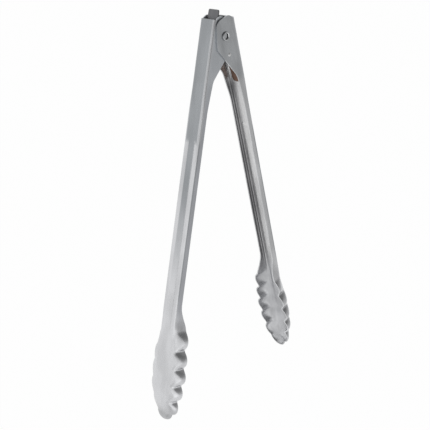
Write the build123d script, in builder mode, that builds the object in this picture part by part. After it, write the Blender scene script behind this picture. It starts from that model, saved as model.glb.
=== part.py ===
from build123d import *
from math import asin, atan, atan2, cos, hypot, radians, sin, tan
import os

# Spring loaded kitchen tongs, lying on their side in the open position.
# Z is the pivot axis, the scoops point along +X, and the origin is the middle of the pivot rivet's bore.
# Millimetres and degrees.

os.makedirs("parts", exist_ok=True)

# Sheet and handles
sheet = 1.0                 # stainless sheet of both arms and the lock slide
bend_radius = 1.8           # outside radius of the folds between web and flanges
arm_length = 305.0          # pivot axis to the tip of the scoop
arm_width = 15.0            # handle, over its flanges
web_offset = 11.5           # pivot axis to the outer face of a handle's web
flange_depth_head = 4.8     # flange depth where the ears run out
flange_depth_scoop = 6.0    # flange depth where the scoop begins
rest_angle = 13.2           # each handle from the centre line, arms open

# Ears around the pivot
ear_gap = 0.1               # between an inner ear and the outer ear beside it
head_rise = 9.5             # web's end behind the pivot axis
ear_rise = 12.6             # ears' end behind the pivot axis
ear_reach = 9.6             # ears' far corner, past the pivot axis
ear_heel_reach = 5.2        # ears' heel, past the pivot axis
ear_heel_in = 0.7           # heel, inwards from the ears' end
ear_corner_x = 6.0          # where the straight front edge of an ear begins
ear_root_x = 31.0           # where that edge runs into the flange
ear_root_offset = 4.4       # its distance from the pivot's centre line there
flange_start_x = 52.0       # where the flange's long edge begins
outline_radii = (4, 6, 6, 10, 60, 20, 20)   # corners of the side outline, from the head to the scoop
joggle_length = 24.0        # run over which the head's width becomes the handle's
pip_x = 13.4                # pressed pip on each outer ear
pip_offset = 0.5
pip_radius = 1.0
pip_height = 0.35

# Stiffening rib along the handle
rib_start = 73.0
rib_end = 262.0
rib_fade = 48.0             # run over which the rib sinks into the scoop
rib_width = 10.0
rib_height = 1.0
rib_slope = 58.0            # of its sides, from the web's normal

# Scalloped scoop
scoop_length = 102.0        # from the end of the straight channel to the tip
rim_gap = 0.2               # rim of a scoop to the closing plane
rim_run = 23.0              # run over which the flange edge drops to the rim
scoop_back_half = 11.2      # half width of the scoop's back at its widest, before its corners are rounded
scoop_round = 8.4           # outside radius between the scoop's back and sides there
scoop_neck = 37.0           # run over which the handle's section becomes the scoop's
scoop_middle = 43.0         # where the scoop is widest, behind the tip
scoop_shoulder = 25.0       # where its back begins to drop, behind the tip
lobe_radius = 8.2           # of a scallop at the rim
lobe_pitch = 14.6
lobe_count = 5              # scallops along each side
lobe_line_half = 9.5        # greatest distance of the lobes' centres from the middle line
lobe_line_radius = 115.0    # curve of the row of centres
lobe_line_back = 44.5       # where the row is widest, behind the tip
lobe_valley = 3.2           # side wall at the rim, outside the row of centres
tip_radius = 8.4
tip_height = 6.6            # of the scoop's back over the tip lobe's centre
tip_shoulder_radius = 7.0   # of the tip lobe half way up
tip_top_radius = 4.2        # of its flat top
tip_round = 2.6             # radius between the scoop's back and sides there
tip_lobe_step = 7.2         # last pair of lobes behind the tip lobe's centre

# Pivot
rivet_radius = 2.6
rivet_bore_radius = 1.9
rivet_head_radius = 3.6
rivet_head_height = 1.1
rivet_head_bevel = 0.6
rivet_mouth_bevel = 0.3
pin_clearance = 0.05        # running fits, radial
side_clearance = 0.05       # along the pivot axis
spacer_wall = 0.95

# Hairpin leaf spring
spring_thickness = 0.6
spring_width = 9.0
spring_leg_end = 38.8       # end of a leg, along the handle
spring_seat_length = 6.0    # flat end of a leg, along the web
spring_clearance = 0.3
spring_knee_radius = 12.0

# Lock slide
lock_travel = 6.0
lock_offset = 6.8           # pivot axis to the slide's back face
tab_rise = 16.3             # tab's end behind the pivot axis, lock off
tab_width = 9.5
tab_round = 1.2
lock_side_gap = 0.1         # slide to the inner ears
lock_rim = 1.5              # metal around the slot of a cheek
lock_bend = 0.9             # outside radius of the slide's folds
finger_width = 1.2
finger_tip_x = 7.2          # end of a finger, lock off
finger_shoulder_x = 1.5     # root of a finger's arm, along the handle
finger_arm = 2.5            # width of that arm
catch_tip_x = 10.4          # free end of the catch lug
catch_back_x = 14.6         # its bend
catch_play = 0.3            # between finger and lug
catch_side_gap = 0.1        # between finger and web
catch_bend = 0.9            # outside radius of the lug's fold
catch_width = 1.1
catch_slit_length = 6.2     # slit that the lug is folded out of

# Derived sizes
inner_head_half = (arm_width - sheet - ear_gap) / 2
outer_head_half = inner_head_half + ear_gap + sheet
ear_hole_radius = rivet_radius + pin_clearance
spacer_radius = ear_hole_radius + spacer_wall
spacer_half = inner_head_half - sheet - side_clearance
scoop_start = arm_length - scoop_length
tip_centre_x = arm_length - tip_radius
section_floor = -2.0        # sections run past the closing plane, where the rim is trimmed
rib_sink = sheet / 2        # rib's section below the face that it stands on
rib_feather = 0.02          # rise of the rib's ends
lock_half = inner_head_half - sheet - lock_side_gap
catch_offset = web_offset - sheet
finger_outer = catch_offset - sheet - catch_side_gap


def handle_half_width(head_half):
    """Corners of a channel's side in plan, where the head's width changes to the handle's."""
    return [
        (ear_root_x + sheet, head_half),
        (ear_root_x + sheet + joggle_length, arm_width / 2),
    ]


def channel_form(head_half, inset):
    """Solid inside the channel's outer face, or inside its inner face when inset is the sheet."""
    joggle = handle_half_width(head_half)
    start_x = -ear_rise - inset
    with BuildPart() as form:
        with BuildSketch(Plane.XZ.offset(inset - web_offset)):
            with BuildLine():
                Polyline(
                    (start_x, 0),
                    (start_x, head_half - inset),
                    *[(x, half - inset) for x, half in joggle],
                    (scoop_start, arm_width / 2 - inset),
                    (scoop_start, 0),
                    close=True,
                )
            make_face()
            mirror(about=Plane.XZ)
        extrude(amount=web_offset - inset + ear_reach + sheet)
        folds = form.edges().group_by(Axis.Y)[-1].filter_by(Axis.Z, reverse=True)
        fillet(folds, bend_radius - inset)
    return form.part


def lobe_line(x):
    """Distance of the row of lobe centres from the middle line, on a shallow arc."""
    return lobe_line_half - (arm_length - lobe_line_back - x) ** 2 / (2 * lobe_line_radius)


def valley_half(x):
    """Half width of the scoop at the rim, in the valleys between the lobes."""
    return lobe_line(x) + lobe_valley


def scoop_stations():
    """Sections of the scoop's smooth core: place, half width at rim and at back, back height, corner."""
    rim_x = scoop_start + rim_run
    neck_x = scoop_start + scoop_neck
    middle_x = arm_length - scoop_middle
    shoulder_x = arm_length - scoop_shoulder
    return [
        (scoop_start, arm_width / 2, arm_width / 2, web_offset, bend_radius),
        (rim_x, (arm_width / 2 + valley_half(neck_x)) / 2, 0.55 * arm_width, web_offset, 2 * bend_radius),
        (neck_x, valley_half(neck_x), 0.9 * scoop_back_half, web_offset, 0.8 * scoop_round),
        (middle_x, valley_half(middle_x), scoop_back_half, web_offset, scoop_round),
        (shoulder_x, valley_half(shoulder_x), 0.8 * scoop_back_half, 0.88 * web_offset, 0.8 * scoop_round),
        (tip_centre_x, tip_radius / 2, 0.4 * tip_radius, tip_height, tip_round),
    ]


def section_at(x):
    """The core's section between two stations."""
    stations = scoop_stations()
    for before, after in zip(stations, stations[1:]):
        if before[0] <= x <= after[0]:
            share = (x - before[0]) / (after[0] - before[0])
            return [a + share * (b - a) for a, b in zip(before, after)]


def flute(x, side, inset):
    """One scallop: a cone leaning in to the core's shoulder, that reaches the lobe radius out at the rim."""
    _, _, back_half, height, corner = section_at(x)
    shoulder = corner * (1 - cos(radians(45)))
    lean_in = lobe_line(x) - back_half + shoulder
    foot = Vector(x, 0, side * lobe_line(x))
    axis = Vector(0, height - shoulder, -side * lean_in)
    radius = lobe_radius * axis.Y * axis.length / (axis.length ** 2 + lobe_radius * lean_in)
    lean = atan(radius / axis.length)
    length = axis.length - inset / sin(lean) - section_floor
    with Locations(Plane(origin=foot + axis.normalized() * section_floor, x_dir=(1, 0, 0), z_dir=axis)):
        Cone(length * tan(lean), 0, length, align=(Align.CENTER, Align.CENTER, Align.MIN))


def tip_form(inset):
    """The tip lobe: a dome of two cones over the closing plane."""
    with BuildPart() as form:
        with BuildSketch(Plane.XY):
            with BuildLine():
                Polyline(
                    (tip_centre_x, section_floor),
                    (tip_centre_x + tip_radius - inset, section_floor),
                    (tip_centre_x + tip_radius - inset, rim_gap),
                    (tip_centre_x + tip_shoulder_radius - inset, (tip_height - inset) / 2),
                    (tip_centre_x + tip_top_radius - inset, tip_height - inset),
                    (tip_centre_x, tip_height - inset),
                    close=True,
                )
            make_face()
        revolve(axis=Axis((tip_centre_x, 0, 0), (0, 1, 0)))
    return form.part


def scoop_form(inset):
    """Solid inside the scoop: a lofted core with a cone at each scallop and a domed one at the tip."""
    tip = tip_form(inset)
    with BuildPart() as form:
        for x, rim_half, back_half, height, corner in scoop_stations():
            flare = (rim_half - back_half) / height * section_floor
            floor_half = rim_half - flare
            with BuildSketch(Plane.YZ.offset(x)) as section:
                Polygon(
                    (section_floor, inset - floor_half),
                    (height - inset, inset - back_half),
                    (height - inset, back_half - inset),
                    (section_floor, floor_half - inset),
                    align=None,
                )
                fillet(section.vertices().group_by(Axis.X)[-1], corner - inset)
        loft(ruled=True)
        add(tip)
        for index in range(lobe_count):
            x = tip_centre_x - tip_lobe_step - index * lobe_pitch
            flute(x, 1, inset)
            flute(x, -1, inset)
    return form.part


def rib_form(inset):
    """The raised rib's solid, with a steep start and a long run-out into the scoop."""
    narrowing = inset * tan(radians(90 - rib_slope) / 2)
    ramp = rib_height * tan(radians(rib_slope))
    face = web_offset - inset
    with BuildPart() as form:
        for x, rise in (
            (rib_start + narrowing, rib_feather),
            (rib_start + narrowing + ramp, rib_height),
            (rib_end - rib_fade, rib_height),
            (rib_end, rib_feather),
        ):
            base_half = rib_width / 2 - narrowing
            top_half = base_half - rise * tan(radians(rib_slope))
            with BuildSketch(Plane.YZ.offset(x)):
                Polygon(
                    (face - rib_sink, -base_half),
                    (face, -base_half),
                    (face + rise, -top_half),
                    (face + rise, top_half),
                    (face, base_half),
                    (face - rib_sink, base_half),
                    align=None,
                )
        loft(ruled=True)
    return form.part


def scoop_and_rib(inset):
    """Scoop and rib together, which both arms share."""
    with BuildPart() as form:
        add(scoop_form(inset))
        add(rib_form(inset))
    return form.part


scoop_outside = scoop_and_rib(0)
scoop_inside = scoop_and_rib(sheet)


def pressed_arm(head_half):
    """One arm along +X, its web on the +Y side: channel, rib, scoop and a pair of ears."""
    beyond = web_offset + rib_height + sheet
    with BuildPart() as arm:
        add(channel_form(head_half, 0))
        add(scoop_outside)
        add(channel_form(head_half, sheet), mode=Mode.SUBTRACT)
        add(scoop_inside, mode=Mode.SUBTRACT)
        with BuildSketch(Plane.XY):
            with BuildLine():
                edge = FilletPolyline(
                    (-head_rise, web_offset - bend_radius),
                    (-ear_rise, web_offset - bend_radius - ear_rise + head_rise),
                    (-ear_rise + ear_heel_in, -ear_heel_reach),
                    (ear_corner_x, -ear_reach),
                    (ear_root_x, ear_root_offset),
                    (flange_start_x, web_offset - flange_depth_head),
                    (scoop_start, web_offset - flange_depth_scoop),
                    (scoop_start + rim_run, rim_gap),
                    (arm_length + sheet, rim_gap),
                    radius=outline_radii,
                )
                Polyline(
                    edge @ 1,
                    (arm_length + sheet, beyond),
                    (-head_rise, beyond),
                    edge @ 0,
                )
            make_face()
        extrude(amount=arm_width + lobe_radius, both=True, mode=Mode.INTERSECT)
        Cylinder(ear_hole_radius, 3 * arm_width, mode=Mode.SUBTRACT)
    return arm.part


def catch_lugs():
    """Pair of L-shaped lugs folded in from the outer arm's web, open towards the head."""
    lug_face = finger_outer - finger_width - catch_play
    with BuildPart() as lugs:
        with BuildSketch(Plane.XY.offset(lock_half)) as outline:
            with BuildLine():
                Polyline(
                    (catch_tip_x, lug_face),
                    (catch_tip_x, lug_face - sheet),
                    (catch_back_x, lug_face - sheet),
                    (catch_back_x, catch_offset + sheet / 2),
                    (catch_back_x - sheet, catch_offset + sheet / 2),
                    (catch_back_x - sheet, lug_face),
                    close=True,
                )
            make_face()
            fillet(outline.vertices().sort_by_distance((catch_back_x, lug_face - sheet))[0], catch_bend)
        extrude(amount=-catch_width)
        mirror(about=Plane.XY)
    return lugs.part


# Both arms open about the pivot axis from the closed position, where their middle planes meet.
open_dir = (cos(radians(rest_angle)), sin(radians(rest_angle)), 0)
outer_plane = Plane(origin=(0, 0, 0), x_dir=open_dir, z_dir=(0, 0, 1))
inner_plane = Plane(origin=(0, 0, 0), x_dir=(open_dir[0], -open_dir[1], 0), z_dir=(0, 0, -1))

# Inner arm
with BuildPart(inner_plane) as left_arm:
    add(pressed_arm(inner_head_half))
left_arm.part.label = "left_arm"
export_step(left_arm.part, "parts/left_arm.step")

# Outer arm, with the pips on its ears and the catch for the lock
with BuildPart() as outer_blank:
    add(pressed_arm(outer_head_half))
    slit_x = catch_back_x + catch_slit_length / 2
    slit_z = lock_half - catch_width / 2
    with Locations((slit_x, catch_offset, slit_z), (slit_x, catch_offset, -slit_z)):
        Box(catch_slit_length, 3 * sheet, catch_width, mode=Mode.SUBTRACT)
    add(catch_lugs())
    for side in (1, -1):
        ear_face = side * (outer_head_half - pip_height)
        with Locations((pip_x, pip_offset, ear_face)):
            Cone(
                pip_radius + pip_height,
                pip_radius - pip_height,
                2 * pip_height,
                rotation=(90 - 90 * side, 0, 0),
                align=(Align.CENTER, Align.CENTER, Align.MIN),
            )
with BuildPart(outer_plane) as right_arm:
    add(outer_blank.part)
right_arm.part.label = "right_arm"
export_step(right_arm.part, "parts/right_arm.step")

# Hollow rivet, rolled over at both ends
rivet_grip = outer_head_half + side_clearance
with BuildPart() as pivot_rivet:
    with BuildSketch(Plane.XZ) as half_section:
        with Locations((rivet_bore_radius, 0)):
            Rectangle(
                rivet_radius - rivet_bore_radius,
                rivet_grip + rivet_head_height,
                align=(Align.MIN, Align.MIN),
            )
        with Locations((rivet_bore_radius, rivet_grip)):
            Rectangle(
                rivet_head_radius - rivet_bore_radius,
                rivet_head_height,
                align=(Align.MIN, Align.MIN),
            )
        crown = half_section.vertices().group_by(Axis.Y)[-1].sort_by(Axis.X)
        chamfer(crown[-1], rivet_head_bevel)
        crown = half_section.vertices().group_by(Axis.Y)[-1].sort_by(Axis.X)
        chamfer(crown[0], rivet_mouth_bevel)
    revolve(axis=Axis.Z)
    mirror(about=Plane.XY)
pivot_rivet.part.label = "pivot_rivet"
export_step(pivot_rivet.part, "parts/pivot_rivet.step")

# Spacer tube between the inner ears
with BuildPart() as spacer_tube:
    with BuildSketch(Plane.XY):
        Circle(spacer_radius)
        Circle(ear_hole_radius, mode=Mode.SUBTRACT)
    extrude(amount=spacer_half, both=True)
spacer_tube.part.label = "spacer_tube"
export_step(spacer_tube.part, "parts/spacer_tube.step")

# Leaf spring: a strip bent round the spacer, with its two legs against the webs
loop_radius = spacer_radius + spring_clearance + spring_thickness / 2
seat_offset = web_offset - sheet - spring_clearance - spring_thickness / 2
seat_start = spring_leg_end - spring_seat_length


def on_outer_arm(x, y):
    """Point of the outer arm's own plan, in the plan of the whole tongs."""
    return (x * open_dir[0] - y * open_dir[1], x * open_dir[1] + y * open_dir[0])


knee = on_outer_arm(seat_start, seat_offset)
foot = on_outer_arm(spring_leg_end, seat_offset)
leg_angle = atan2(knee[1], knee[0]) - asin(loop_radius / hypot(*knee))
apex = (-loop_radius / sin(leg_angle), 0)
with BuildPart() as leaf_spring:
    with BuildSketch(Plane.XY.offset(-spring_width / 2)):
        with BuildLine():
            middle = FilletPolyline(
                foot,
                knee,
                apex,
                (knee[0], -knee[1]),
                (foot[0], -foot[1]),
                radius=[spring_knee_radius, loop_radius, spring_knee_radius],
            )
            offset(middle, amount=spring_thickness / 2, side=Side.BOTH, mode=Mode.REPLACE)
        make_face()
    extrude(amount=spring_width)
leaf_spring.part.label = "leaf_spring"
export_step(leaf_spring.part, "parts/leaf_spring.step")

# Lock slide: a tab and a back plate folded into two slotted cheeks, each with a finger
slot_half = spacer_radius + pin_clearance
cheek_low = slot_half + lock_rim
cheek_top_x = -slot_half - lock_travel - lock_rim
cheek_end_x = slot_half + lock_rim
plate_end_x = -slot_half
with BuildPart() as slide_blank:
    with BuildSketch(Plane.XY.offset(-lock_half)):
        with BuildLine():
            Polyline(
                (cheek_top_x, lock_offset),
                (cheek_top_x, -cheek_low),
                (finger_shoulder_x, -cheek_low),
                (finger_shoulder_x, -finger_outer),
                (finger_tip_x, -finger_outer),
                (finger_tip_x, finger_width - finger_outer),
                (finger_shoulder_x + finger_arm, finger_width - finger_outer),
                (finger_shoulder_x + finger_arm, -cheek_low),
                (cheek_end_x, -cheek_low),
                (cheek_end_x, slot_half),
                (plate_end_x, lock_offset),
                close=True,
            )
        make_face()
        with Locations((-lock_travel / 2, 0)):
            SlotOverall(lock_travel + 2 * slot_half, 2 * slot_half, mode=Mode.SUBTRACT)
    extrude(amount=2 * lock_half)
    folds = slide_blank.faces().sort_by(Axis.Y)[-1].edges().filter_by(Axis.X)
    fillet(folds, lock_bend)
    with Locations((0, lock_offset - sheet, 0)):
        Box(
            4 * tab_rise,
            lock_offset + finger_outer,
            2 * (lock_half - sheet),
            align=(Align.CENTER, Align.MAX, Align.CENTER),
            mode=Mode.SUBTRACT,
        )
    with BuildSketch(Plane.XZ.offset(-lock_offset)) as tab:
        Polygon(
            (cheek_top_x + sheet, lock_bend - lock_half),
            (cheek_top_x, lock_bend - lock_half),
            (-tab_rise, -tab_width / 2),
            (-tab_rise, tab_width / 2),
            (cheek_top_x, lock_half - lock_bend),
            (cheek_top_x + sheet, lock_half - lock_bend),
            align=None,
        )
        fillet(tab.vertices().group_by(Axis.X)[0], tab_round)
    extrude(amount=sheet)
with BuildPart(inner_plane) as lock_slide:
    add(slide_blank.part)
lock_slide.part.label = "lock_slide"
export_step(lock_slide.part, "parts/lock_slide.step")
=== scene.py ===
from math import asin, atan2, cos, hypot, pi, radians, sin, tan

import bmesh
import bpy
import numpy as np
from mathutils import Matrix, Vector


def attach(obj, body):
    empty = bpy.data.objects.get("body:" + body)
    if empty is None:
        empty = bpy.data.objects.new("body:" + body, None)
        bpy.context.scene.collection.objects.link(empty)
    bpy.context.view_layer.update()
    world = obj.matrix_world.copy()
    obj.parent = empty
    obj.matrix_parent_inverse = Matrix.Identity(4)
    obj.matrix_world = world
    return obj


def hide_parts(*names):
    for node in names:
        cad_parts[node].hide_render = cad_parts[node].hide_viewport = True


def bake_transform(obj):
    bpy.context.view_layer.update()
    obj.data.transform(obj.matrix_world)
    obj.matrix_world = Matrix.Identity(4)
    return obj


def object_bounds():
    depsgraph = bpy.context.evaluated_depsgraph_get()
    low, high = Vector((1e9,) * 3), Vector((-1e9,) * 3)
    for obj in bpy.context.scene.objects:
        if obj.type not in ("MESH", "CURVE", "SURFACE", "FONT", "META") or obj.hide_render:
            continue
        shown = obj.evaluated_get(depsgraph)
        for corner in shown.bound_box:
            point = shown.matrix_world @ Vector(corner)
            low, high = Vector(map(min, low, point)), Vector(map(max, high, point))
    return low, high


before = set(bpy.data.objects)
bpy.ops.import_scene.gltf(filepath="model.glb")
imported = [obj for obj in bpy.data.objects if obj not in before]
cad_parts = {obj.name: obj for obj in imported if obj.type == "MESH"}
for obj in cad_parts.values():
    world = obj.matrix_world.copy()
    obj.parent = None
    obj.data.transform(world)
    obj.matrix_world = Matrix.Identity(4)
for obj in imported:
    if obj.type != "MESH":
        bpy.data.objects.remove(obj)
cad_box = [list(corner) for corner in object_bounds()]

# Spring loaded kitchen tongs lying open on their side. Metres; +X towards the scoops, +Z along the pivot.
MM = 0.001
REST_ANGLE = radians(13.2)

# Leaf spring
SPRING_THICKNESS = 0.6 * MM
SPRING_WIDTH = 9.0 * MM
SPRING_LOOP = 4.2 * MM
SPRING_KNEE = 12.0 * MM
SPRING_LEG_END = 38.8 * MM
SPRING_SEAT = 6.0 * MM
SPRING_SEAT_OFFSET = 9.9 * MM
SPRING_END_ROUND = 3.2 * MM
SPRING_STEP = 0.25 * MM             # between the sections
OVAL_POWER = 0.25                   # squareness of a section


def mesh_object(name, points, faces, caps=(), smooth=True):
    """Object at the origin from an array of points, an array of four-cornered faces and end faces."""
    mesh = bpy.data.meshes.new(name)
    mesh.from_pydata(points.reshape(-1, 3).tolist(), [], [*faces.tolist(), *caps])
    mesh.validate()
    mesh.polygons.foreach_set("use_smooth", np.full(len(mesh.polygons), smooth))
    mesh.update()
    made = bpy.data.objects.new(name, mesh)
    bpy.context.scene.collection.objects.link(made)
    return made


def face_outwards(piece):
    """Merges the doubles of a closed piece and turns its faces outwards."""
    closed = bmesh.new()
    closed.from_mesh(piece.data)
    bmesh.ops.remove_doubles(closed, verts=closed.verts, dist=1e-7)
    bmesh.ops.recalc_face_normals(closed, faces=closed.faces)
    closed.to_mesh(piece.data)
    closed.free()


def tube_faces(rows, columns):
    """Faces of a grid whose columns close on themselves, with its two end rows left open."""
    first = np.arange(rows - 1)[:, None] * columns
    column = np.arange(columns)[None, :]
    after = (column + 1) % columns
    return np.stack(
        [first + column, first + after, first + columns + after, first + columns + column], axis=-1
    ).reshape(-1, 4)


# ---------------------------------------------------------------- finishes

# Colours
# lighter tone of the outside: painted highlight on the folds and beside the groove's floor, and the painted
# lighter part towards the scoop
HIGHLIGHT_TONE = (0.63, 0.635, 0.65)
WORN_TIP = (0.46, 0.465, 0.475)
# inside of the web painted bright as the floor's reflection
INNER_WEB_REFLECTION = (0.78, 0.78, 0.785)
INNER_SCOOP = (0.56, 0.565, 0.58)
# inner flanges painted dark as the shade in the channel, with a painted highlight line along the inner bend
INNER_FLANGE_SHADE = (0.18, 0.18, 0.185)
BEND_LINE_HIGHLIGHT = (0.5, 0.5, 0.505)
# rivet: bore painted near black as the shade in the hole, a painted highlight round its mouth, its brim
# painted darker as shade
BORE_SHADE = (0.02, 0.02, 0.02)
MOUTH_HIGHLIGHT = (0.72, 0.73, 0.74)
BRIM_SHADE = (0.3, 0.31, 0.32)

# Where an arm's outside changes, each from one place to another, in metres
HANDLE_FROM = (0.072, 0.077)        # along the arm
CORNER_END = (0.19, 0.21)
SCOOP_FROM = (0.2, 0.222)
TIP_FROM = (0.282, 0.3)
# bands of painted highlight beside the groove's floor and on the folds
BESIDE_FLOOR = (0.0025, 0.0034)     # aside from the arm's middle
FOLD = (0.005, 0.0063)
# band of painted shade along the corner by the bend, which ends along the arm at CORNER_END
CORNER = (0.0071, 0.0075)
WEB_FROM = (0.0092, 0.0101)         # up towards the web
FOLD_HIGHLIGHT_SHARE = 0.85                   # share of the painted highlight that a fold gets

# The same for its inside, and round the rivet's axis
# where the painted shade of the inner flanges starts along the arm
FLANGE_SHADE_FROM = (0.028, 0.045)
INNER_SCOOP_FROM = (0.198, 0.225)
INNER_CORNER = (0.006, 0.0064)
INNER_WEB_FROM = (0.0094, 0.01)
# painted highlight line along the inner bend
BEND_HIGHLIGHT_FROM = (0.0076, 0.0082)
BEND_HIGHLIGHT_TO = (0.0084, 0.009)
# painted highlight round the rivet's mouth, then painted shade on its brim
MOUTH_HIGHLIGHT_FROM = (0.00192, 0.0021)
BRIM_SHADE_FROM = (0.0026, 0.0029)

OUTER_ROUGHNESS = 0.27
INNER_ROUGHNESS = 0.4
RIVET_ROUGHNESS = 0.2
PLAIN_CLOUD = 0.88                  # how dark the clouds get
INNER_CLOUD = 0.82
RIVET_CLOUD = 0.95
LINE_SCALE = (35, 900, 900)         # features per metre along the sheet and across it
SMUDGE_SCALE = (30, 110, 110)


def node(tree, kind, **values):
    """One shader node with its settings and its sockets' values."""
    made = tree.nodes.new(kind)
    for key, value in values.items():
        if hasattr(made, key):
            setattr(made, key, value)
        else:
            made.inputs[key.replace("_", " ")].default_value = value
    return made


def ranged(tree, value, source, target, interpolation="LINEAR"):
    """A value carried from one range to another and held at its ends."""
    made = node(tree, "ShaderNodeMapRange", interpolation_type=interpolation)
    for socket, number in zip(("From Min", "From Max", "To Min", "To Max"), (*source, *target)):
        made.inputs[socket].default_value = number
    tree.links.new(value, made.inputs["Value"])
    return made.outputs["Result"]


def eased_band(tree, value, band):
    """Zero below a band and one above it, with an even start and end."""
    return ranged(tree, value, band, (0, 1), "SMOOTHSTEP")


def combined(tree, operation, one, other):
    """Two values in one, by a sum, product or other plain operation; a number may stand for either."""
    made = node(tree, "ShaderNodeMath", operation=operation)
    for socket, value in zip(made.inputs, (one, other)):
        if isinstance(value, (int, float)):
            socket.default_value = value
        else:
            tree.links.new(value, socket)
    return made.outputs["Value"]


def product(tree, one, other):
    """One value times another."""
    return combined(tree, "MULTIPLY", one, other)


def opposite(tree, value):
    """One less the value."""
    return combined(tree, "SUBTRACT", 1, value)


def toned(tree, under, over, share):
    """One colour over another by a share; a tuple may stand for either colour."""
    made = node(tree, "ShaderNodeMix", data_type="RGBA", blend_type="MIX")
    for socket, value in ((made.inputs["A"], under), (made.inputs["B"], over)):
        if isinstance(value, tuple):
            socket.default_value = (*value, 1)
        else:
            tree.links.new(value, socket)
    tree.links.new(share, made.inputs["Factor"])
    return made.outputs["Result"]


def stretched_noise(tree, spot, scale, detail, roughness):
    """Noise with a scale of its own along the sheet and across it."""
    stretched = node(tree, "ShaderNodeMapping")
    stretched.inputs["Scale"].default_value = scale
    tree.links.new(spot, stretched.inputs["Vector"])
    made = node(tree, "ShaderNodeTexNoise", Scale=1.0, Detail=detail, Roughness=roughness)
    tree.links.new(stretched.outputs["Vector"], made.inputs["Vector"])
    return made.outputs["Fac"]


def satin(name, roughness, cloud, turn=0.0):
    """Brushed steel without its colour: fine lines along the sheet in roughness and relief, and clouds
    that dim the tone down to the share named cloud."""
    material = bpy.data.materials.new(name)
    material.use_nodes = True
    tree = material.node_tree
    shader = tree.nodes["Principled BSDF"]
    shader.inputs["Metallic"].default_value = 1.0
    link = tree.links.new
    place = node(tree, "ShaderNodeTexCoord")
    turned = node(tree, "ShaderNodeMapping")
    turned.inputs["Rotation"].default_value = (0, 0, turn)
    link(place.outputs["Object"], turned.inputs["Vector"])

    lines = stretched_noise(tree, turned.outputs["Vector"], LINE_SCALE, 4.0, 0.6)
    smudges = stretched_noise(tree, turned.outputs["Vector"], SMUDGE_SCALE, 3.0, 0.55)
    clouds = ranged(tree, smudges, (0.32, 0.68), (cloud, 1.04), "SMOOTHSTEP")
    rough = ranged(tree, lines, (0.3, 0.7), (roughness - 0.05, roughness + 0.08))
    link(rough, shader.inputs["Roughness"])

    relief = node(tree, "ShaderNodeBump", Strength=0.05, Distance=0.00005)
    link(lines, relief.inputs["Height"])
    link(relief.outputs["Normal"], shader.inputs["Normal"])
    return material, tree, turned.outputs["Vector"], clouds


def coloured(tree, colour, clouds):
    """Puts the colour, dimmed by the clouds, on the shader."""
    tint = node(tree, "ShaderNodeMix", data_type="RGBA", blend_type="MULTIPLY")
    tint.inputs["Factor"].default_value = 1.0
    if isinstance(colour, tuple):
        tint.inputs["A"].default_value = (*colour, 1)
    else:
        tree.links.new(colour, tint.inputs["A"])
    tree.links.new(clouds, tint.inputs["B"])
    tree.links.new(tint.outputs["Result"], tree.nodes["Principled BSDF"].inputs["Base Color"])


def steel(name, tone, roughness, turn=0.0):
    """Plain satin steel of one tone."""
    material, tree, _, clouds = satin(name, roughness, PLAIN_CLOUD, turn)
    coloured(tree, tone, clouds)
    return material


def arm_places(tree, spot):
    """Where a point is on its arm: along it, its height towards the web, and aside from the middle."""
    parts = node(tree, "ShaderNodeSeparateXYZ")
    tree.links.new(spot, parts.inputs["Vector"])
    high = combined(tree, "ABSOLUTE", parts.outputs["Y"], 0)
    aside = combined(tree, "ABSOLUTE", parts.outputs["Z"], 0)
    return parts.outputs["X"], high, aside


def outer_steel(name, turn, cloud, head, ear, flange, flange_from, lit_from):
    """Outside of an arm: painted darker at the head and lighter towards the scoop, with painted highlights
    on the folds and beside the groove's floor, painted shade along the corner by the bend, ears and flanges
    in tones painted for how the light falls, and a worn tip."""
    material, tree, spot, clouds = satin(name, OUTER_ROUGHNESS, cloud, turn)
    along, high, aside = arm_places(tree, spot)
    handle = eased_band(tree, along, HANDLE_FROM)
    # painted highlights beside the groove's floor along the handle and on the folds; the outside is painted
    # lighter towards the scoop and darker at the head
    beside_floor_highlight = product(tree, handle, eased_band(tree, aside, BESIDE_FLOOR))
    fold_highlight = product(tree, eased_band(tree, aside, FOLD), FOLD_HIGHLIGHT_SHARE)
    bright = combined(tree, "MAXIMUM", beside_floor_highlight, fold_highlight)
    painted_light = combined(tree, "MAXIMUM", eased_band(tree, along, lit_from), bright)
    colour = toned(tree, head, HIGHLIGHT_TONE, painted_light)
    # painted shade: a darker strip along the corner by the bend, in the head's tone, along the handle
    corner = combined(tree, "SUBTRACT", eased_band(tree, aside, CORNER), eased_band(tree, along, CORNER_END))
    colour = toned(tree, colour, head, product(tree, corner, handle))
    # ears and flanges in tones painted lighter or darker for how the light falls on each arm
    sides = toned(tree, ear, flange, eased_band(tree, along, flange_from))
    off_web = opposite(tree, eased_band(tree, high, WEB_FROM))
    off_scoop = opposite(tree, eased_band(tree, along, SCOOP_FROM))
    colour = toned(tree, colour, sides, product(tree, off_web, off_scoop))
    colour = toned(tree, colour, WORN_TIP, eased_band(tree, along, TIP_FROM))
    coloured(tree, colour, clouds)
    return material


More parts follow.
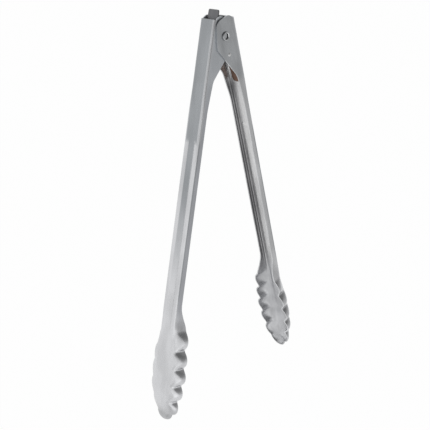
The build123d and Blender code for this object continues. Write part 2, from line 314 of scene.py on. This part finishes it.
def inner_steel(name, turn):
    """Inside of an arm: web painted bright as the floor's reflection, flanges painted dark as the shade in
    the channel with one painted highlight line along the inner bend, a grey scoop.
    """
    material, tree, spot, clouds = satin(name, INNER_ROUGHNESS, INNER_CLOUD, turn)
    along, high, aside = arm_places(tree, spot)
    scoop = eased_band(tree, along, INNER_SCOOP_FROM)
    # web painted bright as the floor's reflection
    colour = toned(tree, INNER_WEB_REFLECTION, INNER_SCOOP, scoop)
    # painted highlight line along the inner bend, over the painted shade of the flanges
    line = combined(tree, "SUBTRACT", eased_band(tree, high, BEND_HIGHLIGHT_FROM), eased_band(tree, high, BEND_HIGHLIGHT_TO))
    flange = toned(tree, INNER_FLANGE_SHADE, BEND_LINE_HIGHLIGHT, line)
    off_web = opposite(tree, eased_band(tree, high, INNER_WEB_FROM))
    # painted shade over the flanges and corners of the channel, from where it starts along the arm to the
    # scoop
    corner = combined(tree, "MAXIMUM", off_web, eased_band(tree, aside, INNER_CORNER))
    flange_shade_stretch = combined(tree, "SUBTRACT", eased_band(tree, along, FLANGE_SHADE_FROM), scoop)
    colour = toned(tree, colour, flange, product(tree, corner, flange_shade_stretch))
    coloured(tree, colour, clouds)
    return material


def rivet_metal():
    """Rivet: the bore painted dark as the shade in the hole, a painted highlight round its mouth and painted
    shade on the brim round it, by the distance from the pivot axis.
    """
    material, tree, spot, clouds = satin("rivet_rolled", RIVET_ROUGHNESS, RIVET_CLOUD)
    flat = node(tree, "ShaderNodeVectorMath", operation="MULTIPLY")
    flat.inputs[1].default_value = (1, 1, 0)
    tree.links.new(spot, flat.inputs[0])
    radius = node(tree, "ShaderNodeVectorMath", operation="LENGTH")
    tree.links.new(flat.outputs["Vector"], radius.inputs[0])
    # painted shade in the bore, painted highlight round the mouth, painted shade on the brim
    colour = toned(tree, BORE_SHADE, MOUTH_HIGHLIGHT, eased_band(tree, radius.outputs["Value"], MOUTH_HIGHLIGHT_FROM))
    colour = toned(tree, colour, BRIM_SHADE, eased_band(tree, radius.outputs["Value"], BRIM_SHADE_FROM))
    coloured(tree, colour, clouds)
    return material


def wear_slot(name, material):
    """Gives every material slot of a CAD node the finish."""
    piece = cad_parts[name]
    if not piece.material_slots:
        piece.data.materials.append(material)
    for spot in piece.material_slots:
        spot.material = material


# the two arms are copies of one steel whose head, ear and flange tones are painted lighter or darker for how
# the light falls on each
left_steel = outer_steel(
    "left_handle_satin", REST_ANGLE, 0.9, (0.34, 0.355, 0.37), (0.52, 0.54, 0.565), (0.45, 0.46, 0.485),
    (0.03, 0.06), (0.1, 0.2))
right_steel = outer_steel(
    "right_handle_satin", -REST_ANGLE, 0.8, (0.35, 0.365, 0.38), (0.5, 0.515, 0.53), (0.63, 0.635, 0.645),
    (0.03, 0.037), (0.04, 0.06))
left_inside = inner_steel("left_handle_inside", REST_ANGLE)
right_inside = inner_steel("right_handle_inside", -REST_ANGLE)
rivet_steel = rivet_metal()
spacer_steel = steel("spacer_turned", (0.3, 0.3, 0.3), 0.3)
# pips painted brighter than the ear as a glint
pip_glint_steel = steel("pip_painted_glint", (0.7, 0.7, 0.7), 0.2)
slide_steel = steel("slide_satin", (0.17, 0.172, 0.18), 0.34, REST_ANGLE)
spring_steel = steel("spring_tempered", (0.17, 0.105, 0.08), 0.38)
wear_slot("spacer_tube", spacer_steel)
wear_slot("lock_slide", slide_steel)


# ---------------------------------------------------------------- leaf spring


def rounded_path(corners, radii, step):
    """Points along straight runs joined by arcs: at each corner the arc touches both runs."""
    parts = [corners[:1]]
    for before, corner, after, radius in zip(corners[:-2], corners[1:-1], corners[2:], radii):
        back = (before - corner) / np.linalg.norm(before - corner)
        on = (after - corner) / np.linalg.norm(after - corner)
        half = np.arccos(np.clip(back @ on, -1, 1)) / 2
        middle = (back + on) / np.linalg.norm(back + on)
        centre = corner + middle * radius / sin(half)
        start = corner + back * radius / tan(half)
        end = corner + on * radius / tan(half)
        a, b = start - centre, end - centre
        turn = np.arctan2(a[0] * b[1] - a[1] * b[0], a @ b)
        count = max(6, int(abs(turn) * radius / step))
        angle = np.linspace(0, turn, count)[:, None]
        parts.append(centre + a * np.cos(angle) + np.array([-a[1], a[0]]) * np.sin(angle))
    parts.append(corners[-1:])
    line = np.concatenate(parts)
    length = np.concatenate([[0], np.cumsum(np.linalg.norm(np.diff(line, axis=0), axis=1))])
    even = np.linspace(0, length[-1], int(length[-1] / step))
    return np.stack([np.interp(even, length, line[:, 0]), np.interp(even, length, line[:, 1])], axis=1), even


def leaf_spring():
    """Strip along its middle line. A section is a flat oval of half thickness t and half width w:
    across = t * sign(cos a) * |cos a|^(1/4) and up = w * sign(sin a) * |sin a|^(1/4) for the angle a.
    Near both ends w follows a quarter circle."""
    direction = np.array([cos(REST_ANGLE), sin(REST_ANGLE)])
    outward = np.array([-direction[1], direction[0]])
    knee = (SPRING_LEG_END - SPRING_SEAT) * direction + SPRING_SEAT_OFFSET * outward
    foot = SPRING_LEG_END * direction + SPRING_SEAT_OFFSET * outward
    leg_angle = atan2(knee[1], knee[0]) - asin(SPRING_LOOP / hypot(*knee))
    apex = np.array([-SPRING_LOOP / sin(leg_angle), 0])
    mirrored = np.array([1, -1])
    corners = np.array([foot, knee, apex, knee * mirrored, foot * mirrored])
    line, along = rounded_path(corners, [SPRING_KNEE, SPRING_LOOP, SPRING_KNEE], SPRING_STEP)
    tangent = np.gradient(line, axis=0)
    tangent /= np.linalg.norm(tangent, axis=1)[:, None]
    across = np.stack([-tangent[:, 1], tangent[:, 0]], axis=1)
    from_end = np.minimum(along, along[-1] - along)
    reach = np.clip(1 - from_end / SPRING_END_ROUND, 0, 1)
    half_width = SPRING_WIDTH / 2 - SPRING_END_ROUND * (1 - np.sqrt(np.clip(1 - reach ** 2, 0, 1)))
    angle = np.linspace(0, 2 * pi, 32, endpoint=False)
    thick = SPRING_THICKNESS / 2 * np.sign(np.cos(angle)) * np.abs(np.cos(angle)) ** OVAL_POWER
    wide = np.sign(np.sin(angle)) * np.abs(np.sin(angle)) ** OVAL_POWER
    points = np.empty((len(line), len(angle), 3))
    points[..., :2] = line[:, None] + across[:, None] * thick[None, :, None]
    points[..., 2] = half_width[:, None] * wide[None]
    faces = tube_faces(*points.shape[:2])
    last = points.shape[0] * points.shape[1]
    caps = [list(range(len(angle) - 1, -1, -1)), list(range(last - len(angle), last))]
    strip = mesh_object("hairpin_spring", points, faces, caps)
    face_outwards(strip)
    return strip


spring = leaf_spring()
spring.data.materials.append(spring_steel)
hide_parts("leaf_spring")
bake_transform(spring)


# ---------------------------------------------------------------- pressed arms

# An arm's own lengths are in millimetres: along it from the pivot, height towards the web, aside
SHEET = 1.0 * MM
CUT_EDGE = 0.12 * MM
BEND = 1.8
HALF_WIDTH = 7.5                    # of the handle
INNER_HEAD_HALF = 6.95              # of the ears
OUTER_HEAD_HALF = 8.05
JOGGLE = (32, 56)                   # where the head's width changes to the handle's
RIM_LEVEL = 0.4                     # the scoop's rim stands back this far from the middle plane
SCOOP_START = 203
BOWL_END = 228                      # where the channel has become a bowl
TIP_X = 296.6
SLIT = (14.6, 20.8)                 # slits of the right arm: along it, and aside
SLIT_ASIDE = (4.75, 5.85)

# Side outline of an arm, from the web's end at the head to the tip: along it, height towards the web
EDGE_CORNERS = np.array([
    (-9.5, 9.7), (-12.6, 6.6), (-11.9, -5.2), (6.0, -9.6), (31.0, 4.4),
    (52.0, 6.7), (203.0, 5.5), (218.0, RIM_LEVEL), (306.0, RIM_LEVEL),
])
EDGE_RADII = [4, 6, 6, 10, 60, 20, 20]
# Rows over the ears fan out: a point of the outline, and where its row starts on the web
FAN_TOPS = (
    (-9.5, 9.7, -9.5), (-12.5, 1.0, -8.7), (-8.0, -6.4, -6.0),
    (6.0, -8.6, 3.0), (31.0, 4.6, 29.5), (52.0, 6.6, 52.0),
)

# Scoop's sections: along the arm, half width between the scallops, height, squareness of the curve
SECTIONS = np.array([
    (-20.0, 7.5, 11.5, 12.0), (203.0, 7.5, 11.5, 12.0), (213.0, 7.5, 11.5, 7.0), (225.0, 8.7, 11.5, 4.8),
    (237.0, 11.4, 11.5, 4.4), (246.0, 13.0, 11.5, 4.3), (262.0, 13.6, 11.4, 3.5), (274.0, 13.0, 11.3, 3.3),
    (287.0, 10.6, 9.4, 2.7), (296.6, 7.5, 5.6, 2.1),
])
# Half width of the rim where it flares out of the handle
FLARE = np.array([
    (203.0, 7.0), (208.0, 7.8), (213.0, 8.7), (219.0, 10.2), (225.0, 11.5), (231.0, 12.0), (238.0, 9.0),
])
FLARE_END = 240
# Circles of the scalloped rim: along the arm, aside, radius
LOBES = (
    (289.4, 5.8, 8.1), (274.8, 8.5, 8.1), (260.2, 9.4, 8.1),
    (245.6, 8.4, 8.1), (230.0, 4.9, 9.8), (296.6, 0.0, 8.3),
)
# Share of the height at which the scallops fade out: the first, the rest, and where it changes
LOBE_TOPS = (0.82, 0.97)
FIRST_LOBE_TO = (232, 242)
# Groove in the back: start, where it begins to fade, end, half floor, half brim, and its height,
# which is below zero because it goes inwards
GROOVE = (73.0, 214.0, 262.0, 2.7, 4.3, -0.6)
GROOVE_RAMP = 2.2                   # length of its start
# Columns over the groove, and how the rest spread from them to the bend
GROOVE_COLUMNS = np.array([0, 0.9, 1.8, 2.6, 3.1, 3.4, 3.7, 4.0, 4.3, 4.6, 4.75, 5.0, 5.3])
WEB_COLUMNS = np.array([0.3, 0.579, 0.8])
SOFTENED = (204, 212, 289, 295)     # where the softening of the scoop comes in and goes out


def eased(value, low, high):
    """Zero below low, one above high, 3u^2 - 2u^3 between them."""
    share = np.clip((value - low) / (high - low), 0, 1)
    return share * share * (3 - 2 * share)


def softly_larger(one, other, blend):
    """The larger of two surfaces with a fillet: half of (their sum plus sqrt(difference^2 + blend^2))."""
    return (one + other + np.sqrt((one - other) ** 2 + blend ** 2)) / 2


def core_sections(x):
    """Half width, height and squareness at x: straight between the sections, then averaged over 9 mm,
    and over less near the tip."""
    reach = 4.5
    spread = np.linspace(-reach, reach, 13)
    weight = np.cos(spread / reach * pi / 2) ** 2
    weight /= weight.sum()
    places = x[:, None] + spread * eased(TIP_X - x, 0, 6)[:, None]
    return [(np.interp(places, SECTIONS[:, 0], SECTIONS[:, column]) * weight).sum(axis=1)
            for column in (1, 2, 3)]


def past_circle(forward, aside, radius):
    """Distance along a ray to the far side of a circle whose centre is forward along it and aside from it;
    a ray that misses the circle gets less."""
    inside = np.sqrt(np.clip(radius ** 2 - aside ** 2, 0, None))
    return forward + inside - 2 * np.clip(np.abs(aside) - radius, 0, None)


def arm_rows():
    """Rows across the arm: spine place, edge place, edge height and the turn of the row about the spine."""
    edge, along = rounded_path(EDGE_CORNERS, EDGE_RADII, 0.25)
    marks = [along[np.argmin(np.hypot(edge[:, 0] - x, edge[:, 1] - t))] for x, t, _ in FAN_TOPS]
    ears = np.linspace(0, marks[-1], 110)
    ear_top = np.interp(ears, marks, [top for _, _, top in FAN_TOPS])
    for cut in SLIT:
        ear_top[np.argmin(np.abs(ear_top - cut))] = cut
    ear_x = np.interp(ears, along, edge[:, 0])
    ear_t = np.interp(ears, along, edge[:, 1])
    runs = ((54, 72, 10), (72.6, 75.6, 16), (78, 201, 42), (SCOOP_START, TIP_X, 136))
    body = np.concatenate([np.linspace(*run) for run in runs])
    after = along > marks[-1]
    body_t = np.interp(body, edge[after, 0], edge[after, 1])
    fan = np.linspace(pi / 2, 0, 31)[1:]
    spine = np.concatenate([ear_top, body, np.full(len(fan), TIP_X)])
    edge_x = np.concatenate([ear_x, body, np.full(len(fan), TIP_X)])
    edge_t = np.concatenate([ear_t, body_t, np.full(len(fan), RIM_LEVEL)])
    turn = np.concatenate([np.full(len(ears) + len(body), pi / 2), fan])
    return spine, edge_x, edge_t, turn


def pressed_arm(name, head_half, side, slits):
    """Sheet of one arm. A row is a section: flat back with its groove, a quarter turn, and a side down to
    the edge. Towards the scoop each point slides along its ray to the curve (w/W)^n + (t/H)^n = 1, and the
    scallops widen it by (L - W) * cos(pi/2 * t / (c H)), where L is the far side of the circles on the rim.
    Round the tip the rows turn like a fan."""
    spine, edge_x, edge_t, turn = arm_rows()
    half, height, square = core_sections(spine)
    head = head_half + (HALF_WIDTH - head_half) * eased(spine, *JOGGLE)
    half = np.where(spine < SCOOP_START, head, half)
    forward_x, forward_z = np.cos(turn), np.sin(turn)
    quarter = np.linspace(0, pi / 2, 9)
    drop = np.linspace(0, 1, 21)[1:]

    # channel section: columns over the groove, the rest spread up to the bend, then the bend and the side
    flat = half - BEND
    shrink = np.minimum(1, 0.93 * flat / GROOVE_COLUMNS[-1])
    web_z = GROOVE_COLUMNS * shrink[:, None]
    web_z = np.concatenate([web_z, web_z[:, -1:] + (flat[:, None] - web_z[:, -1:]) * WEB_COLUMNS], axis=1)
    bent_z = flat[:, None] + BEND * np.sin(quarter)
    bent_t = (height - BEND)[:, None] + BEND * np.cos(quarter)
    side_t = (height - BEND)[:, None] + (edge_t - height + BEND)[:, None] * drop
    out = np.concatenate([web_z, bent_z, np.broadcast_to(half[:, None], side_t.shape)], axis=1)
    level = np.concatenate([np.broadcast_to(height[:, None], web_z.shape), bent_t, side_t], axis=1)

    # bowl of the scoop
    bearing = np.arctan2(out / half[:, None], level / height[:, None])
    power = square[:, None]
    ray = (np.sin(bearing) ** power + np.clip(np.cos(bearing), 0, 1) ** power) ** (-1 / power)
    bowl = eased(spine, SCOOP_START, BOWL_END)[:, None]
    out = out + bowl * (half[:, None] * ray * np.sin(bearing) - out)
    level = level + bowl * (height[:, None] * ray * np.cos(bearing) - level)

    # scallops
    rim = np.interp(spine, FLARE[:, 0], FLARE[:, 1])
    rim = softly_larger(np.where(spine > FLARE_END, 0, rim), half, 0.3)
    for centre_x, centre_z, radius in LOBES:
        gone = centre_x - spine
        forward = gone * forward_x + centre_z * forward_z
        aside = gone * forward_z - centre_z * forward_x
        rim = softly_larger(rim, past_circle(forward, aside, radius), 0.4)
    top = LOBE_TOPS[0] + (LOBE_TOPS[1] - LOBE_TOPS[0]) * eased(spine, *FIRST_LOBE_TO)
    fade = np.cos(pi / 2 * np.clip(level / (top * height)[:, None], 0, 1))
    out = out + ((rim - half) * (spine > SCOOP_START))[:, None] * fade * bowl ** 0.5

    # groove
    start, sink, end, floor_half, brim_half, rise = GROOVE
    depth_along = eased(spine, start, start + GROOVE_RAMP) * np.clip((end - spine) / (end - sink), 0, 1)
    high = level.copy()
    high[:, :web_z.shape[1]] += rise * depth_along[:, None] * (1 - eased(web_z, floor_half, brim_half))

    x = spine[:, None] + out * forward_x[:, None]
    z = out * forward_z[:, None]
    fanned = np.concatenate([np.zeros(web_z.shape[1] + len(quarter)), drop])
    x = x + (edge_x - spine)[:, None] * fanned
    ear = (spine < 60)[:, None] & (fanned > 0)
    z = np.where(ear, head_half + (HALF_WIDTH - head_half) * eased(x, *JOGGLE), z)

    near = np.stack([x, high, z], axis=-1)[:, ::-1]
    far = np.stack([x, high, -z], axis=-1)[:, 1:]
    grid = np.concatenate([near, far], axis=1)

    # soften the pressed forms of the scoop: each point goes half way to the mean of its four neighbours
    fade_in, full, fade_out, gone = SOFTENED
    share = (eased(spine, fade_in, full) * (1 - eased(spine, fade_out, gone)))[1:-1, None, None] * 0.5
    for _ in range(3):
        mean = (grid[:-2, 1:-1] + grid[2:, 1:-1] + grid[1:-1, :-2] + grid[1:-1, 2:]) / 4
        grid[1:-1, 1:-1] += share * (mean - grid[1:-1, 1:-1])
        for column in (0, -1):
            mean = (grid[:-2, column] + grid[2:, column]) / 2
            grid[1:-1, column] += share[:, 0] * (mean - grid[1:-1, column])

    # open position: each arm is turned out by the rest angle, its back outwards
    c, s = cos(REST_ANGLE), sin(REST_ANGLE)
    placed = np.stack([
        grid[..., 0] * c - grid[..., 1] * s,
        side * (grid[..., 0] * s + grid[..., 1] * c),
        side * grid[..., 2],
    ], axis=-1) * MM
    rows, columns = placed.shape[:2]
    first = np.arange(rows - 1)[:, None] * columns + np.arange(columns - 1)[None, :]
    faces = np.stack([first, first + columns, first + columns + 1, first + 1], axis=-1)
    if slits:
        middle_x = (spine[:-1] + spine[1:])[:, None] / 2
        middle_z = (np.abs(grid[0, :-1, 2]) + np.abs(grid[0, 1:, 2])) / 2
        on_web = np.abs(np.arange(columns - 1) + 0.5 - (columns - 1) / 2) < web_z.shape[1]
        cut_x = (middle_x > SLIT[0]) & (middle_x < SLIT[1])
        cut_z = (middle_z > SLIT_ASIDE[0]) & (middle_z < SLIT_ASIDE[1])
        faces = faces[~(cut_x & cut_z & on_web)]
    sheet = mesh_object(name, placed, faces.reshape(-1, 4))
    closed = bmesh.new()
    closed.from_mesh(sheet.data)
    bmesh.ops.remove_doubles(closed, verts=closed.verts, dist=1e-6)
    closed.to_mesh(sheet.data)
    closed.free()
    solid = sheet.modifiers.new("thickness", "SOLIDIFY")
    solid.thickness = SHEET
    solid.offset = -1
    solid.material_offset = 1
    rounded = sheet.modifiers.new("cut_edges", "BEVEL")
    rounded.width = CUT_EDGE
    rounded.segments = 2
    rounded.limit_method = "ANGLE"
    rounded.angle_limit = radians(50)
    return sheet


left_arm = pressed_arm("left_arm_sheet", INNER_HEAD_HALF, -1, False)
left_arm.data.materials.append(left_steel)
left_arm.data.materials.append(left_inside)
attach(left_arm, "inner_handle")
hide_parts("left_arm")
right_arm = pressed_arm("right_arm_sheet", OUTER_HEAD_HALF, 1, True)
right_arm.data.materials.append(right_steel)
right_arm.data.materials.append(right_inside)
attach(right_arm, "outer_handle")
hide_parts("right_arm")


# ---------------------------------------------------------------- rivet, pips and catch

RIVET_BORE = 1.9                    # radius
RIVET_NECK = 2.6
LIP_CENTRE = (2.55, 8.1)            # of the rolled lip: from the axis, along it
LIP_HALF = (0.65, 1.05)             # half width and height of the lip
SHANK_LEVELS = (7.0, 7.6)           # where the bore's mouth and the neck begin
PIP_PLACE = (13.4, 0.5)
PIP_RADIUS = 1.3
PIP_BASE = 7.98
PIP_RISE = 0.42
LUG_PATH = np.array([(10.4, 7.4), (14.1, 7.4), (14.1, 10.6)])
LUG_BEND = 0.9
LUG_STEP = 0.15
LUG_HALF = (0.5, 0.52)              # half thickness and half width
LUG_ASIDE = 5.3


def turned(name, profile, place=(0, 0), columns=72):
    """Surface of revolution about a line along Z: radius and height run along the profile."""
    profile = np.asarray(profile) * MM
    angle = np.linspace(0, 2 * pi, columns, endpoint=False)
    points = np.empty((len(profile), columns, 3))
    points[..., 0] = profile[:, :1] * np.cos(angle) + place[0]
    points[..., 1] = profile[:, :1] * np.sin(angle) + place[1]
    points[..., 2] = profile[:, 1:]
    piece = mesh_object(name, points, tube_faces(len(profile), columns))
    face_outwards(piece)
    return piece


def rivet_profile():
    """Closed profile of the hollow rivet: bore, rolled lip as half of an oval, neck, and the same below."""
    angle = np.linspace(pi, 0, 15)
    oval = np.stack([np.cos(angle), np.sin(angle)], axis=1)
    lip = np.array(LIP_CENTRE) + np.array(LIP_HALF) * oval
    mouth, neck = SHANK_LEVELS
    upper = np.concatenate([[(RIVET_BORE, mouth)], lip, [(RIVET_NECK, LIP_CENTRE[1]), (RIVET_NECK, neck)]])
    lower = upper[::-1] * np.array([1, -1])
    return np.concatenate([[(RIVET_BORE, 0.0)], upper, lower, [(RIVET_BORE, 0.0)]])


rivet = turned("rolled_rivet", rivet_profile())
rivet.data.materials.append(rivet_steel)
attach(rivet, "inner_handle")
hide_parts("pivot_rivet")


def on_right_arm(x, t):
    """Point of the right arm's own plan, turned out by the rest angle; metres."""
    return np.stack([
        x * cos(REST_ANGLE) - t * sin(REST_ANGLE),
        x * sin(REST_ANGLE) + t * cos(REST_ANGLE),
    ], axis=-1) * MM


# pips pressed out of the outer ears, painted brighter than the ear as a glint: low domes, radius R cos a and
# height H sin a for the angle a
rise = np.linspace(0, pi / 2, 9)
for side, side_name in ((1, "upper"), (-1, "lower")):
    dome = np.stack([PIP_RADIUS * np.cos(rise), side * (PIP_BASE + PIP_RISE * np.sin(rise))], axis=1)
    foot = np.array([(0.0, side * PIP_BASE)])
    pip = turned("ear_pip_" + side_name, np.concatenate([foot, dome]), on_right_arm(*PIP_PLACE), 24)
    pip.data.materials.append(pip_glint_steel)
    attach(pip, "outer_handle")

# lugs folded in from the slits of the right arm: a rectangle carried along a bent path
for side, side_name in ((1, "upper"), (-1, "lower")):
    bend, _ = rounded_path(LUG_PATH, [LUG_BEND], LUG_STEP)
    heading = np.gradient(bend, axis=0)
    heading /= np.linalg.norm(heading, axis=1)[:, None]
    aside = np.stack([-heading[:, 1], heading[:, 0]], axis=1)
    corners = np.array([(-1, -1), (1, -1), (1, 1), (-1, 1)]) * LUG_HALF
    bar = np.empty((len(bend), 4, 3))
    plan = bend[:, None] + aside[:, None] * corners[None, :, :1]
    bar[..., :2] = on_right_arm(plan[..., 0], plan[..., 1])
    bar[..., 2] = (side * LUG_ASIDE + corners[:, 1]) * MM
    end = len(bend) * 4
    lug = mesh_object("catch_lug_" + side_name, bar, tube_faces(len(bend), 4),
                      [[3, 2, 1, 0], [end - 4, end - 3, end - 2, end - 1]], smooth=False)
    face_outwards(lug)
    lug.data.materials.append(right_steel)
    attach(lug, "outer_handle")


# ---------------------------------------------------------------- floor, light and camera

MIDDLE_X = 0.14
FLOOR_GLOW = 0.98                   # share of its own light that camera and reflections see
# The room gets brighter along +X: from where to where, and how bright
END_LIGHT = ((-0.85, 0.75), (0.26, 0.72))
SIDE_WALL = (0.7, 0.95)             # bright wall on the side of -Y
SIDE_LIGHT = 0.45
DARK_WALL = Vector((-0.42, 0.05, 0.90)).normalized()
DARK_WALL_EDGE = (0.74, 0.9)          # by the cosine of the angle to the dark wall
DARK_SHARE = 0.42

floor_z = cad_box[0][2]
bpy.ops.mesh.primitive_plane_add(size=6, location=(MIDDLE_X, 0, floor_z))
floor = bpy.context.object
floor.name = "floor"
pale = bpy.data.materials.new("pale_floor")
pale.use_nodes = True
tree = pale.node_tree
tree.nodes["Principled BSDF"].inputs["Base Color"].default_value = (0.8, 0.8, 0.8, 1)
tree.nodes["Principled BSDF"].inputs["Roughness"].default_value = 0.9
glow = node(tree, "ShaderNodeEmission", Strength=1.0)
rays = node(tree, "ShaderNodeLightPath")
either = combined(tree, "MAXIMUM", rays.outputs["Is Camera Ray"], rays.outputs["Is Glossy Ray"])
mixed = node(tree, "ShaderNodeMixShader")
tree.links.new(product(tree, either, FLOOR_GLOW), mixed.inputs["Fac"])
tree.links.new(tree.nodes["Principled BSDF"].outputs["BSDF"], mixed.inputs[1])
tree.links.new(glow.outputs["Emission"], mixed.inputs[2])
tree.links.new(mixed.outputs["Shader"], tree.nodes["Material Output"].inputs["Surface"])
floor.data.materials.append(pale)

world = bpy.data.worlds.new("studio")
bpy.context.scene.world = world
world.use_nodes = True
tree = world.node_tree
sky = tree.nodes["Background"]
sky.inputs["Color"].default_value = (1, 1, 1, 1)
place = node(tree, "ShaderNodeTexCoord")
parts = node(tree, "ShaderNodeSeparateXYZ")
tree.links.new(place.outputs["Generated"], parts.inputs["Vector"])
level = ranged(tree, parts.outputs["X"], *END_LIGHT, "SMOOTHSTEP")
facing = node(tree, "ShaderNodeVectorMath", operation="DOT_PRODUCT")
facing.inputs[1].default_value = DARK_WALL
tree.links.new(place.outputs["Generated"], facing.inputs[0])
wall = product(tree, eased_band(tree, facing.outputs["Value"], DARK_WALL_EDGE), DARK_SHARE)
towards_side = product(tree, parts.outputs["Y"], -1)
side_light = product(tree, eased_band(tree, towards_side, SIDE_WALL), SIDE_LIGHT)
strength = product(tree, combined(tree, "ADD", level, side_light), opposite(tree, wall))
rays = node(tree, "ShaderNodeLightPath")
seen = node(tree, "ShaderNodeMix", data_type="FLOAT")
seen.inputs["B"].default_value = 1.0
tree.links.new(rays.outputs["Is Camera Ray"], seen.inputs["Factor"])
tree.links.new(strength, seen.inputs["A"])
tree.links.new(seen.outputs["Result"], sky.inputs["Strength"])


def soft_lamp(name, place, aim, width, height, watts):
    """Rectangular studio lamp at a place, turned to what it lights."""
    data = bpy.data.lights.new(name, "AREA")
    data.shape = "RECTANGLE"
    data.size = width
    data.size_y = height
    data.energy = watts
    lamp = bpy.data.objects.new(name, data)
    lamp.location = place
    lamp.rotation_euler = (Vector(aim) - Vector(place)).to_track_quat("-Z", "Y").to_euler()
    bpy.context.scene.collection.objects.link(lamp)


LIT = (0.15, 0, 0)
soft_lamp("lamp_scoop_end", (1.6, -0.1, 0.9), LIT, 2.4, 2.0, 3)
soft_lamp("lamp_top", (0.7, -1.1, 1.5), LIT, 1.8, 1.6, 4)

# Camera: where it stands, what it looks along and how far it is rolled
camera_data = bpy.data.cameras.new("camera")
camera_data.lens = 54.335
camera_data.sensor_width = 36.0
camera_data.sensor_fit = "HORIZONTAL"
camera = bpy.data.objects.new("camera", camera_data)
camera_right = Vector((0.0271813, 0.72702343, 0.68607442))
camera_up = Vector((-0.90249471, 0.31296969, -0.29589401))
turn = Matrix((camera_right, camera_up, camera_right.cross(camera_up))).transposed()
camera.matrix_world = Matrix.Translation(Vector((-80.135, -312.678, 332.048)) * MM) @ turn.to_4x4()
bpy.context.scene.collection.objects.link(camera)
bpy.context.scene.camera = camera
bpy.context.scene.view_settings.view_transform = "Standard"
